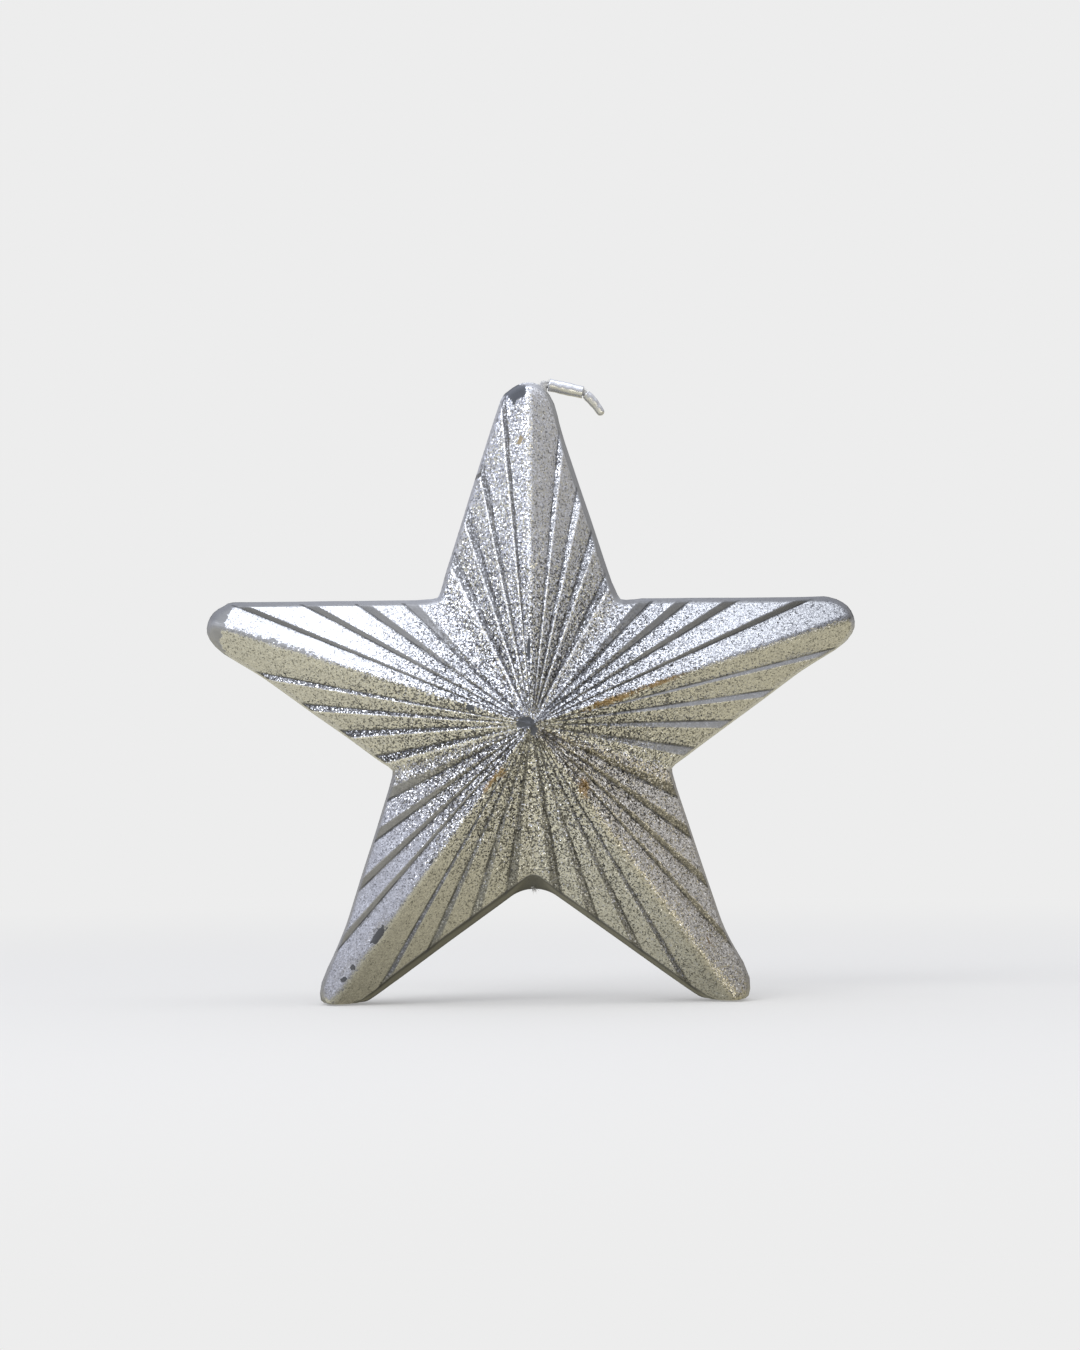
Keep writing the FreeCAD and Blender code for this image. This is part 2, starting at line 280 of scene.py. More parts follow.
def flake_colour(p, masks, flake, small):
    """Bright flakes, dark specks thickening to the middle; painted shade on groove walls, highlights on
    crests, warm reflection.
    """
    speckle = p.minus(p.noise(0.55, 3, 0.7), 0.5)
    dark_share = p.step(p.field("from_middle"), 4.0, 50.0, 0.44, 0.72)
    dark_share = p.plus(dark_share, p.times(p.field("smooth"), 0.18))
    grain = p.plus(p.part(flake, 1), p.times(speckle, 0.7))
    specks = p.step(p.minus(grain, dark_share), 0.0, 0.08)
    silver = p.mix(p.part(flake, 0), (0.66, 0.665, 0.69), (0.94, 0.95, 0.985))
    strength = p.step(p.field("from_middle"), 10.0, 44.0, 0.92, 0.60)
    silver = p.mix(p.times(specks, strength), silver, (0.11, 0.11, 0.12))
    sparkle = p.step(p.part(small, 2), 0.80, 0.86, 1.0, 0.0)
    # Painted shade on the steep groove walls, with a few bright flakes left in it.
    dark_wall = p.times(masks.wall_side, p.times(p.field("dark_wall"), sparkle))
    silver = p.mix(dark_wall, silver, (0.085, 0.085, 0.09))
    # Painted highlights along the rib crests, on the half arms whose groove walls carry the most painted
    # shade.
    glint = p.step(p.part(small, 0), 0.25, 0.6, 0.35, 0.95)
    crest = p.times(masks.crest, p.step(p.field("dark_wall"), 0.70, 0.80, 0.12, 1.0))
    silver = p.mix(p.times(crest, glint), silver, (0.97, 0.97, 0.985))
    # Painted warm reflection where the warm field is set.
    return p.mix(p.field("warm"), silver, p.vector("MULTIPLY", silver, (1.06, 1.0, 0.88))), speckle


def worn_colour(p, masks, colour, speckle):
    """Grey walls, bare wax, painted shade on bare side walls and groove bottoms, chips and stains over the
    glitter's colour.
    """
    grey = p.mix(p.noise(2.5, 4, 0.6), (0.30, 0.303, 0.31), (0.42, 0.422, 0.43))
    colour = p.mix(masks.grey_wall, colour, grey)
    wax = p.mix(p.noise(1.2, 4), (0.29, 0.293, 0.30), (0.40, 0.40, 0.405))
    colour = p.mix(masks.bare, colour, wax)
    # Painted shade on the bare side walls, darkest on the legs' walls that face down into the arch.
    colour = p.mix(p.times(masks.side, p.field("painted_side_shade")), colour, (0.075, 0.073, 0.055))
    # Painted shade lines along the groove bottoms, darker in patches.
    groove_line_shade = p.step(p.noise(5.0, 3), 0.36, 0.60, 0.45, 0.85)
    colour = p.mix(p.times(masks.line, groove_line_shade), colour, (0.10, 0.10, 0.105))
    chipped = p.mix(p.field("chip_tan"), (0.07, 0.075, 0.085), (0.36, 0.29, 0.18))
    colour = p.mix(masks.chip, colour, chipped)
    patchy = p.plus(p.times(masks.ragged, 0.7), p.times(speckle, 1.8))
    stain = p.step(p.plus(p.field("stain"), patchy), 0.12, 0.6, 0, 0.8)
    return p.mix(stain, colour, (0.38, 0.25, 0.11))


def glitter_material():
    """Silver glitter over grey wax: tilted bright flakes, smooth grey walls, worn ridges, chips, painted
    light and shade.
    """
    p = Paint("silver_glitter")
    masks = glitter_masks(p)
    flake, middle = p.cells(0.27)
    small, _ = p.cells(0.20)
    silver, speckle = flake_colour(p, masks, flake, small)
    # Painted light and shade: each half arm's colour made brighter or darker by how the light falls on it.
    tone = p.add("ShaderNodeHueSaturation")
    p.put(tone.inputs["Value"], p.field("tone"))
    p.put(tone.inputs["Color"], worn_colour(p, masks, silver, speckle))
    rough = p.plus(p.times(masks.plain, 0.20), 0.27)
    metal = p.minus(0.95, p.times(masks.plain, 0.55), clamp=True)
    metal = p.minus(metal, p.times(masks.chip, 0.4), clamp=True)
    return p.finish(Base_Color=tone.outputs[0], Metallic=metal, Roughness=rough,
                    Normal=flake_normal(p, masks, flake, middle, small))


def silver_wax_material():
    """Silver paint on the thin wax round the wick, with streaks along it and pinholes."""
    p = Paint("silvered_wax")
    stretch = p.vector("MULTIPLY", p.place, (0.16, 1, 0.6))
    streak = p.noise(0.8, 3, 0.5, stretch)
    pits = p.step(p.noise(0.5, 3, 0.6), 0.66, 0.74)
    colour = p.mix(streak, (0.60, 0.60, 0.62), (0.86, 0.87, 0.89))
    colour = p.mix(p.times(pits, 0.6), colour, (0.34, 0.33, 0.32))
    normal = p.bump(p.minus(streak, p.times(pits, 0.4)), 0.05)
    rough = p.step(streak, 0.3, 0.7, 0.36, 0.22)
    return p.finish(Base_Color=colour, Metallic=0.8, Roughness=rough, Normal=normal)


def cotton_material():
    """Waxed cotton: pale fibres, greyed by wax and silver dust."""
    p = Paint("waxed_cotton")
    fibre = p.noise(0.16, 4, 0.7, p.vector("MULTIPLY", p.place, (0.5, 1, 0.6)))
    dust = p.step(p.noise(0.5, 3), 0.45, 0.65)
    colour = p.mix(fibre, (0.38, 0.37, 0.35), (0.82, 0.81, 0.78))
    colour = p.mix(p.times(dust, 0.6), colour, (0.34, 0.34, 0.36))
    return p.finish(Base_Color=colour, Roughness=0.75, Normal=p.bump(fibre, 0.06))


def floor_material():
    """Plain pale paper: lit by the lamps near the star, evenly pale further away."""
    p = Paint("pale_paper")
    distance = p.vector("LENGTH", p.place)
    far = p.step(distance, 0.10, 0.45, 0.35, 1.0)
    colour = p.mix(p.noise(2.0, 3), (0.722, 0.700, 0.655), (0.742, 0.720, 0.675))
    shader = p.add("ShaderNodeBsdfDiffuse")
    p.put(shader.inputs[0], colour)
    glow = p.add("ShaderNodeEmission")
    glow.inputs[0].default_value = (*BACKGROUND, 1)
    both = p.add("ShaderNodeMixShader")
    p.put(both.inputs[0], far)
    p.tree.links.new(shader.outputs[0], both.inputs[1])
    p.tree.links.new(glow.outputs[0], both.inputs[2])
    output = p.add("ShaderNodeOutputMaterial")
    p.tree.links.new(both.outputs[0], output.inputs[0])
    return p.material


# ---------------------------------------------------------------- the star's surface

def ray_offsets(ends):
    """Angles off an arm's middle, closer together where the grooves and ribs turn."""
    def angle(share):
        return FIFTH - math.atan(share * EDGE / APOTHEM + math.tan(TENTH))
    angles = set(np.round(np.linspace(0, TENTH, 40), 6))
    for end in ends:
        bottom, crest = angle(end), angle(end - WALL_SHARE)
        for turn, shifts in ((bottom, BOTTOM_RAYS), (crest, CREST_RAYS)):
            angles = {a for a in angles if abs(a - turn) > math.radians(0.55) or a in (0, TENTH)}
            angles |= {turn + math.radians(s) for s in shifts}
    kept = []
    for a in sorted(a for a in angles if 0 <= a <= TENTH):
        if not kept or a - kept[-1] > math.radians(0.08):
            kept.append(a)
    kept[-1] = TENTH
    return np.array(kept)


def outline_radius(theta, inset, rounding, corner):
    """Distance from the middle to the outline drawn in by inset, at theta off an arm's middle."""
    line = (APOTHEM - inset) / np.cos(FIFTH - theta)
    centre = (APOTHEM - rounding) / math.sin(POINT)
    ball = np.maximum(rounding - inset, 0.05)
    turn = np.arctan(ball * math.sin(FIFTH) / (centre + ball * math.cos(FIFTH)))
    tip = centre * np.cos(theta) + np.sqrt(np.maximum(ball ** 2 - (centre * np.sin(theta)) ** 2, 0))
    radius = np.where(theta < turn, tip, line)
    psi = TENTH - theta
    hollow = corner + inset
    far = APOTHEM / math.cos(TENTH) + corner / math.cos(TENTH)
    bend = np.arctan(hollow * math.sin(TENTH) / (far - hollow * math.cos(TENTH)))
    inner = far * np.cos(psi) - np.sqrt(np.maximum(hollow ** 2 - (far * np.sin(psi)) ** 2, 0))
    return np.where(psi < bend, inner, radius)


def groove_share(t, v, ends):
    """How far down into a groove, 0 at a rib's crest and 1 at the bottom, with rounded turns."""
    shares, depths = [0.0], [0.0]
    for end in ends:
        shares += [end - WALL_SHARE, end]
        depths += [0.0, 1.0]
    shares.append(1.0)
    depths.append(0.0)
    width = np.minimum(GROOVE_ROUNDING / (np.maximum(v, 0.02) * EDGE), 0.3)
    steps = np.linspace(-0.5, 0.5, 9)
    total = 0
    for k in steps:
        at = np.abs(t + k * width)
        total = total + np.interp(np.where(at > 1, 2 - at, at), shares, depths)
    return total / len(steps)


def groove_fields(t, v, ends):
    """Millimetres to the nearest groove's bottom and to the nearest crest, and where the steep walls are."""
    bottom_mm, crest_mm = np.full(np.shape(t), np.inf), np.full(np.shape(t), np.inf)
    wall = np.zeros(np.shape(t))
    for end in ends:
        bottom_mm = np.minimum(bottom_mm, np.abs((t - end) * EDGE * v))
        crest_mm = np.minimum(crest_mm, np.abs((t - end + WALL_SHARE) * EDGE * v))
        past_crest = smooth_step(t, end - WALL_SHARE - WALL_FADE, end - WALL_SHARE + WALL_FADE)
        before_bottom = smooth_step(t, end + WALL_FADE, end - WALL_FADE)
        wall = np.maximum(wall, past_crest * before_bottom)
    return bottom_mm, crest_mm, wall


# Chips: how far right and up from the star's middle, half sizes, turn, and how tan the wax in them is.
CHIPS = (
    (-2.4, 64.3, 2.4, 1.5, 12, 0.0),
    (-2.7, 62.9, 0.55, 1.5, 0, 0.0),
    (-1.5, 54.6, 0.85, 0.95, 0, 1.0),
    (2.6, 58.7, 0.38, 0.65, 0, 0.2),
    (-9.9, 48.0, 1.1, 0.45, 20, 0.1),
    (-18.2, -24.6, 0.45, 0.40, 0, 0.05),
    (-19.6, -26.2, 0.30, 0.45, 0, 0.05),
    (-29.9, -40.2, 0.75, 2.5, -36, 0.05),
    (-31.6, -43.0, 0.4, 0.7, -36, 0.05),
    (-34.9, -46.5, 0.55, 0.6, 0, 0.1),
    (-36.9, -48.9, 0.8, 0.6, 20, 0.05),
    (-1.2, 0.4, 1.7, 1.1, 10, 0.0),
    (0.4, -0.9, 0.7, 0.9, 0, 0.0),
    (-11.8, 3.3, 0.95, 0.7, 0, 0.0),
    (-0.4, 14.4, 0.32, 2.6, 0, 0.0),
    (-5.2, 9.0, 0.4, 0.5, 0, 0.3),
    (21.6, 33.6, 0.4, 0.5, 0, 0.1),
)
# Stains, the same without a tan value. Then the back face's own chips and stains.
STAINS = (
    (-6.0, -8.9, 1.4, 1.4, 0),
    (9.9, -12.2, 1.6, 2.8, 0),
    (33.6, -42.0, 1.4, 1.7, 0),
    (15.5, 4.6, 8.0, 1.0, 18),
    (24.5, 7.8, 7.0, 0.7, 18),
    (-8.0, -11.0, 0.8, 3.2, -36),
)
BACK_CHIPS = (
    (7.0, 51.0, 0.8, 0.9, 0, 0.6),
    (-48.0, 15.0, 1.3, 0.6, 18, 0.0),
    (31.0, -42.0, 0.7, 1.8, 36, 0.05),
    (12.0, 10.0, 0.6, 0.6, 0, 0.3),
    (0.3, -0.4, 1.2, 1.1, 0, 0.0),
)
BACK_STAINS = (
    (-9.0, 4.0, 3.0, 1.0, 20),
    (4.0, -20.0, 1.4, 2.2, 0),
)


def spot_field(x, z, spots):
    """1 in the middle of the nearest spot, 0 at its edge, below 0 outside; then its last value, if any."""
    best = np.full(x.shape, -1.0)
    own = np.zeros(x.shape)
    for right, up, wide, tall, turn, *value in spots:
        c, s = math.cos(math.radians(turn)), math.sin(math.radians(turn))
        dx, dz = x - right, z - up
        across, along = dx * c + dz * s, -dx * s + dz * c
        inside = 1 - np.sqrt((across / wide) ** 2 + (along / tall) ** 2)
        if value:
            own = np.where(inside > best, value[0], own)
        best = np.maximum(best, inside)
    return best, own


# How worn each arm's ridge is, and between which distances from the middle its tip wears bare.
RIDGE_WEAR = {LEFT: 0.62, LEFT_FOOT: 0.42, RIGHT: 0.40, RIGHT_FOOT: 0.16, TOP: 0.22}
TIP_WEAR = {LEFT: (61.2, 63.2), RIGHT: (64.6, 66.2), LEFT_FOOT: (65.6, 67.6),
            RIGHT_FOOT: (66.5, 68.5), TOP: (65, 67)}


def worn_field(arm, along, across, front):
    """Where the glitter has rubbed off: along the ridges near the tips, and at the tips."""
    ridge = smooth_step(np.abs(across + 0.35), 1.1, 0.2)
    worn = 0.0 * along
    for which, much in RIDGE_WEAR.items():
        worn = np.where(arm == which, much * ridge * smooth_step(along, 24, 52), worn)
    for which, (start, stop) in TIP_WEAR.items():
        worn = np.where(arm == which, np.maximum(worn, 0.9 * smooth_step(along, start, stop)), worn)
    return worn * (1.0 if front else 0.85)


# For each half arm, clockwise (-1) and counter-clockwise (1) of its middle line:
#   smooth        how smooth the glitter lies near the tip
#   tones  painted light and shade: how bright it is near the middle, halfway and at the tip, at
#       PAINTED_LIGHT_PLACES
#   bare, dim  how bare its side wall is (above 1, also less steep), and how much shade is painted on that
#   bare wall
#   plain_wall    how bare its groove walls are
#   dark_wall  how much shade is painted on its groove walls
#   full          how full the casting is: it shrank a little at both side notches
HalfArm = namedtuple("HalfArm", "smooth tones bare dim plain_wall dark_wall full")
PAINTED_LIGHT_PLACES = (8, 30, 62)
HALF_ARMS = {
    (TOP, -1): HalfArm(0.60, (0.91, 1.04, 1.22), 1.0, 0.15, 0.10, 0.88, 0.965),
    (TOP, 1): HalfArm(0.20, (1.04, 1.12, 1.16), 0.15, 0.0, 0.20, 0.82, 1.012),
    (LEFT, -1): HalfArm(0.90, (0.97, 0.92, 0.62), 0.9, 0.0, 1.0, 0.3, 0.995),
    (LEFT, 1): HalfArm(0.45, (1.36, 1.11, 1.02), 0.15, 0.0, 0.05, 0.98, 0.940),
    (LEFT_FOOT, -1): HalfArm(1.00, (0.90, 0.81, 0.81), 0.2, 0.2, 0.8, 0.4, 0.930),
    (LEFT_FOOT, 1): HalfArm(1.00, (1.20, 0.94, 0.54), 1.35, 0.9, 0.1, 0.65, 1.0),
    (RIGHT_FOOT, -1): HalfArm(0.20, (1.29, 0.96, 0.57), 1.15, 0.8, 0.1, 0.65, 1.0),
    (RIGHT_FOOT, 1): HalfArm(0.20, (1.04, 0.93, 0.76), 0.15, 0.2, 0.2, 0.65, 0.930),
    (RIGHT, -1): HalfArm(0.50, (1.24, 1.09, 1.03), 0.15, 0.0, 0.75, 0.60, 0.940),
    (RIGHT, 1): HalfArm(0.45, (0.75, 0.65, 0.40), 0.7, 0.0, 0.9, 0.4, 0.990),
}


def half_arm_rays():
    """Every ray once round the star: its arm, its angle off that arm's middle, and its groove layout."""
    arms, offs, kinds = [], [], []
    for arm in range(5):
        for side in (-1, 1):
            ends = OWN_GROOVE_ENDS.get((arm, side), GROOVE_ENDS)
            kind = GROOVE_LAYOUTS.index(ends)
            offsets = ray_offsets(ends)
            offsets = -offsets[::-1][:-1] if side < 0 else offsets[:-1]
            arms += [arm] * len(offsets)
            offs += offsets.tolist()
            kinds += [kind] * len(offsets)
    return np.array(arms), np.array(offs), np.array(kinds)


def round_the_star(values, reach=12):
    """The same values, softened over neighbouring rays."""
    return sum(np.roll(values, k) for k in range(-reach, reach + 1)) / (2 * reach + 1)


def looks_at(arm, off, pick):
    """At every ray or point, what pick takes from its own half arm's looks."""
    side = np.where(off < 0, -1, 1)
    values = np.zeros(arm.shape)
    for (which, way), looks in HALF_ARMS.items():
        values = np.where((arm == which) & (side == way), pick(looks), values)
    return values


def ring_radii(arm, off, rounding):
    """Distances from the middle, ring by ring: along the outline's insets, then evenly in to the middle."""
    arch = np.where(((arm == LEFT_FOOT) & (off > 0)) | ((arm == RIGHT_FOOT) & (off < 0)), 1.0, 0.0)
    rings = []
    for s in INSETS:
        corner = NOTCH_CORNER + arch * ARCH_CORNER * max(0, 1 - s / 0.7)
        rings.append(outline_radius(np.abs(off), s + DRAWN_IN, rounding, corner))
    last = rings[-1]
    rings += [last * u for u in np.linspace(1, 0, INNER_RINGS + 2)[1:-1]]
    return np.array(rings)


def face_relief(radius, across, theta, kind):
    """The face's height without its side walls, and the grooves' fields."""
    valley = radius * np.sin(TENTH - theta)
    reach = radius * np.cos(FIFTH - theta)
    reach = reach + math.sin(FIFTH) * (np.sqrt(across ** 2 + 0.07) - np.abs(across))
    reach = reach - math.sin(TENTH) * (np.sqrt(valley ** 2 + 0.05) - np.abs(valley))
    v = reach / APOTHEM                                                     # 0 in the middle, 1 at an edge
    t = APOTHEM * (np.tan(FIFTH - theta) - math.tan(TENTH)) / EDGE          # 0 at a notch, 1 at a tip
    share = np.choose(kind, [groove_share(t, v, ends) for ends in GROOVE_LAYOUTS])
    layouts = zip(*[groove_fields(t, v, ends) for ends in GROOVE_LAYOUTS])
    groove_mm, crest_mm, wall_side = (np.choose(kind, options) for options in layouts)
    return RIM + CROWN * (1 - v) - GROOVE_DEPTH * v * share, groove_mm, crest_mm, wall_side


def inset_of(radius, along, across, theta, rounding):
    """How far in from the outline each point is, in millimetres."""
    straight = APOTHEM - DRAWN_IN - radius * np.cos(FIFTH - theta)
    centre = (APOTHEM - rounding) / math.sin(POINT)
    round_tip = rounding - DRAWN_IN - np.hypot(along - centre, across)
    tip_zone = (along > centre) & (theta < 0.2)
    inset = np.where(tip_zone & (round_tip < straight), round_tip, straight)
    inset[: len(INSETS)] = INSETS[:, None]
    return inset


def glitter_fields(arm, off, radius, along, across):
    """How the glitter looks at each point, from its half arm's looks, painted light and shade among them."""
    ray_arm, ray_off = arm[0], off[0]
    bare = round_the_star(looks_at(ray_arm, ray_off, lambda looks: min(looks.bare, 1.0)), 5)
    dim = round_the_star(looks_at(ray_arm, ray_off, lambda looks: looks.dim), 5)
    smooth = looks_at(arm, off, lambda looks: looks.smooth) * smooth_step(along, 14, 46)
    plain_wall = looks_at(arm, off, lambda looks: looks.plain_wall) * smooth_step(along, 12, 30)
    # Painted warm reflection on the feet's outer halves, weaker on the left foot.
    warm = smooth_step(across, -2.0, 1.0) * (arm == RIGHT_FOOT)
    warm = warm + 0.3 * smooth_step(across, 1.0, -2.0) * (arm == LEFT_FOOT)
    return dict(smooth=smooth, plain_wall=plain_wall, warm=warm, from_middle=radius,
                tone=looks_at(arm, off, lambda looks: np.interp(radius, PAINTED_LIGHT_PLACES, looks.tones)),
                dark_wall=looks_at(arm, off, lambda looks: looks.dark_wall),
                bare_side=np.broadcast_to(bare, radius.shape), painted_side_shade=np.broadcast_to(dim, radius.shape))


def fullness(arm, off):
    """How full the casting is along each ray: shrunk beside the side notches, fuller at the wick's root."""
    full = round_the_star(looks_at(arm, off, lambda looks: looks.full), 6)
    full = 1 - (1 - full) * smooth_step(np.abs(off), 0.02, 0.14)
    return full + np.where(arm == TOP, TOP_DRIP * smooth_step(np.abs(off), 0.12, 0.0), 0)


def star_face(front):
    """Points and fields of one face, from the parting line in to the middle."""
    arm, off, kind = half_arm_rays()
    phi = np.array([ARM_TURNS[a] for a in arm]) + off
    foot = (arm == LEFT_FOOT) | (arm == RIGHT_FOOT)
    rounding = np.where(foot, FOOT_ROUND, TIP_ROUND)
    full = fullness(arm, off)
    steep = round_the_star(looks_at(arm, off, lambda looks: 1.0 + 0.9 * (1 - looks.bare)))
    radius = ring_radii(arm, off, rounding)
    arm, off, phi = (np.broadcast_to(f, radius.shape) for f in (arm, off, phi))
    theta = np.abs(off)

    along, across = radius * np.cos(off), radius * np.sin(off)
    face, groove_mm, crest_mm, wall_side = face_relief(radius, across, theta, kind)
    inset = inset_of(radius, along, across, theta, rounding)
    wall = inset * WALL_SLOPE * steep
    softness = 1.0 + 2.2 * smooth_step(along, 56, 65)
    height = np.maximum(smooth_min(wall, face, softness), 0.0)
    height[0] = 0.0
    on_side = smooth_step(face - wall, 0.2, 1.0)      # the grooves end at the side wall's edge

    fields = glitter_fields(arm, off, radius, along, across)
    fields.update(groove_mm=groove_mm + 4 * on_side, crest_mm=crest_mm + 4 * on_side,
                  inset_mm=inset * np.minimum(steep, 1.0), wall=wall_side * (1 - on_side),
                  worn=worn_field(arm, along, across, front))
    x, z = radius * full * np.cos(phi), radius * full * np.sin(phi)
    return x.ravel(), height.ravel(), z.ravel(), phi.ravel(), radius.ravel(), fields, radius.shape


def shape_face(front):
    """One face's points with their unevenness, chips and seam, and its fields."""
    x, h, z, phi, radius, fields, shape = star_face(front)
    side = -1.0 if front else 1.0
    seed = 0 if front else 1
    points = np.stack([x, side * h, z], axis=1)
    up = smooth_step(h, 0.4, 3.0)
    uneven = sum(high * noise_at(points, size, first + seed) for high, size, first in UNEVEN)
    chip, tan = spot_field(x, z, CHIPS if front else BACK_CHIPS)
    stain, _ = spot_field(x, z, STAINS if front else BACK_STAINS)
    sunk = CHIP_DEPTH * smooth_step(chip, -0.15, 0.35)
    points[:, 1] += side * up * (uneven - sunk)
    flat = np.stack([x, 0 * x, z], axis=1)
    wobble = 0.18 * noise_at(flat, 11.0, 1) * smooth_step(radius, 8, 24)
    seam = 0.14 * np.exp(-(h / 0.22) ** 2)
    points[:, 0] += np.cos(phi) * (wobble + seam)
    points[:, 2] += np.sin(phi) * (wobble + seam)
    toe = ((x - TOE[0]) / TOE_HALF[0]) ** 2 + ((z - TOE[1]) / TOE_HALF[1]) ** 2
    points[:, 0] += TOE_OUT * np.exp(-toe)
    fields = {name: values.ravel() for name, values in fields.items()}
    fields.update(chip=chip, chip_tan=tan, stain=stain)
    return points, fields, shape


def face_polygons(index, top, front):
    """Quads from ring to ring and a fan to the middle point."""
    faces = []
    for a, b in zip(index[:-1], index[1:]):
        a2, b2 = np.roll(a, -1), np.roll(b, -1)
        faces += np.stack([a, a2, b2, b] if front else [a, b, b2, a2], axis=1).tolist()
    last = index[-1]
    for a, b in zip(last.tolist(), np.roll(last, -1).tolist()):
        faces.append([a, b, top] if front else [a, top, b])
    return faces


def soft_landing(z):
    """Heights above the floor, with what would reach below it flattened on it."""
    return np.where(z < 4, 0.5 * (z + np.sqrt(z ** 2 + 0.5)), z)


def build_star(material):
    """Both faces in one mesh, joined along the parting line."""
    blocks, faces, rows_of_fields = [], [], []
    base = 0
    for front in (True, False):
        points, fields, (rows, count) = shape_face(front)
        start = 0 if front else count            # the back shares the front's parting line
        index = np.arange(rows * count).reshape(rows, count) + base - start
        if not front:
            index[0] = np.arange(count)
        middle = np.array([[0.0, (-1 if front else 1) * (RIM + CROWN - CENTRE_WORN), 0.0]])
        blocks += [points[start:], middle]
        # The middle point's fields; its painted light is a little darker.
        at_middle = dict(tone=0.85, chip=0.5 if front else -1, inset_mm=20)
        rows_of_fields.append({k: np.append(v[start:], at_middle.get(k, 0)) for k, v in fields.items()})
        top = base + (rows * count - start)
        faces += face_polygons(index, top, front)
        base = top + 1
    points = np.concatenate(blocks)
    points[:, 2] += CENTRE
    points[:, 2] = soft_landing(points[:, 2])
    star = new_mesh("silver_glitter_star", points, faces, "star", "glitter", material)
    for key in rows_of_fields[0]:
        add_field(star, key, np.concatenate([f[key] for f in rows_of_fields]))
    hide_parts("glitter_coat", "grey_overdip", "wax_core")


# ---------------------------------------------------------------- the wick

def along_path(points, sides, radius_at, seed=1, cap=True, roughen=0.0):
    """A tube along a line of points in the x-z plane, with its radius given for each share and angle."""
    line = [Vector(p) for p in points]
    rings, faces = [], []
    n = len(line)
    for k, centre in enumerate(line):
        way = (line[min(k + 1, n - 1)] - line[max(k - 1, 0)]).normalized()
        up = Vector((0, 1, 0))
        side = way.cross(up).normalized()
        for j in range(sides):
            turn = 2 * math.pi * j / sides
            r = radius_at(k / (n - 1), turn)
            rings.append(centre + (side * math.cos(turn) + up * math.sin(turn)) * r)
    rings = np.array([tuple(p) for p in rings])
    if roughen:
        shake = noise_at(rings, 0.5, seed)
        centres = np.repeat(np.array([tuple(c) for c in line]), sides, axis=0)
        rings = rings + (rings - centres) * (shake * roughen)[:, None]
    for k in range(n - 1):
        for j in range(sides):
            a, b = k * sides + j, k * sides + (j + 1) % sides
            faces.append([a, b, b + sides, a + sides])
    if cap:
        faces.append(list(range(sides))[::-1])
        faces.append([(n - 1) * sides + j for j in range(sides)])
    return rings, faces


# The wick's line, in millimetres: where it leaves the wax and folds over, where its silvered wax is cracked
# and where it is cut off, and which way it runs inside the star, on its first stretch and on its last.
FOLD = Vector((3.0, 0.0, 119.763))
CRACK = Vector((10.834, 0.0, 117.912))
NOTCH = Vector((0, 0, 22.9))
LAST_ANGLE = math.radians(13.3 + 29.2)
THROUGH_WAY = (FOLD - NOTCH).normalized()
FIRST_WAY = (CRACK - FOLD).normalized()
LAST_WAY = Vector((math.cos(LAST_ANGLE), 0, -math.sin(LAST_ANGLE)))
LAST_SAG = 0.85         # how far the last stretch curls down by its end
SLEEVE_RADIUS = 0.90
SLEEVE_WALL = 0.30
TIP_START = 0.86        # the dipped end starts to close at this share of its length


def build_sleeve(name, start, way, first, last, closed_end, body, node, material, seed):
    """A stretch of silvered wax, oval, wrinkled, torn at its open ends."""
    steps, sides = 46, 28
    down = Vector((way.z, 0, -way.x)) * (LAST_SAG if closed_end else 0)
    shares = [k / (steps - 1) for k in range(steps)]
    points = [start + way * (first + (last - first) * u) + down * u * u for u in shares]

    def radius_at(share, turn):
        taper = 1 - (0.22 if closed_end else 0.03) * share * share
        oval = 1 + 0.05 * math.cos(2 * turn + 0.6) - 0.03 * math.cos(3 * turn + seed)
        waves = 1 + 0.03 * math.sin(9 * share + seed) + 0.02 * math.sin(23 * share + 2 * seed)
        crease = 0.07 * math.exp(-((turn - math.pi / 2 - 0.3) / 0.16) ** 2)
        r = SLEEVE_RADIUS * taper * oval * waves - crease
        if closed_end and share > TIP_START:
            r *= math.sqrt(max(1 - ((share - TIP_START) / 0.142) ** 2, 0.0004))
        return r

    rings, faces = along_path(points, sides, radius_at, seed, cap=closed_end, roughen=0.025)
    rng = np.random.default_rng(seed)
    torn = rng.uniform(-0.16, 0.16, sides)
    torn = (torn + np.roll(torn, 1) + np.roll(torn, -1)) / 3
    for j in range(sides):
        for k in range(4):
            tear = np.array(way) * (1 - k / 4)
            rings[k * sides + j] += tear * torn[j]
            if not closed_end:
                rings[(steps - 1 - k) * sides + j] += tear * torn[-j]
    sleeve = new_mesh(name, rings, faces, body, "silvered_wax", material)
    if not closed_end:
        solid = sleeve.modifiers.new("wall", "SOLIDIFY")
        solid.thickness = SLEEVE_WALL * MM
        solid.offset = -1
    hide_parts(node)


def strand_tubes(points, radius, strands, turns, thick, seed):
    """Plaited strands round a line, as one mesh."""
    verts, faces = [], []
    n = len(points)
    sides = 8
    up = Vector((0, 1, 0))

    def lumpy(share, turn):
        return thick * (1 + 0.12 * math.sin(40 * share + 3 * turn))

    for s in range(strands):
        centres = []
        for k, centre in enumerate(points):
            way = (points[min(k + 1, n - 1)] - points[max(k - 1, 0)]).normalized()
            side = way.cross(up).normalized()
            turn = 2 * math.pi * (turns * k / (n - 1) + s / strands)
            centres.append(centre + (side * math.cos(turn) + up * math.sin(turn)) * radius)
        rings, tube = along_path(centres, sides, lumpy, seed + s, roughen=0.2)
        base = len(verts)
        verts += rings.tolist()
        faces += [[base + i for i in face] for face in tube]
    return verts, faces


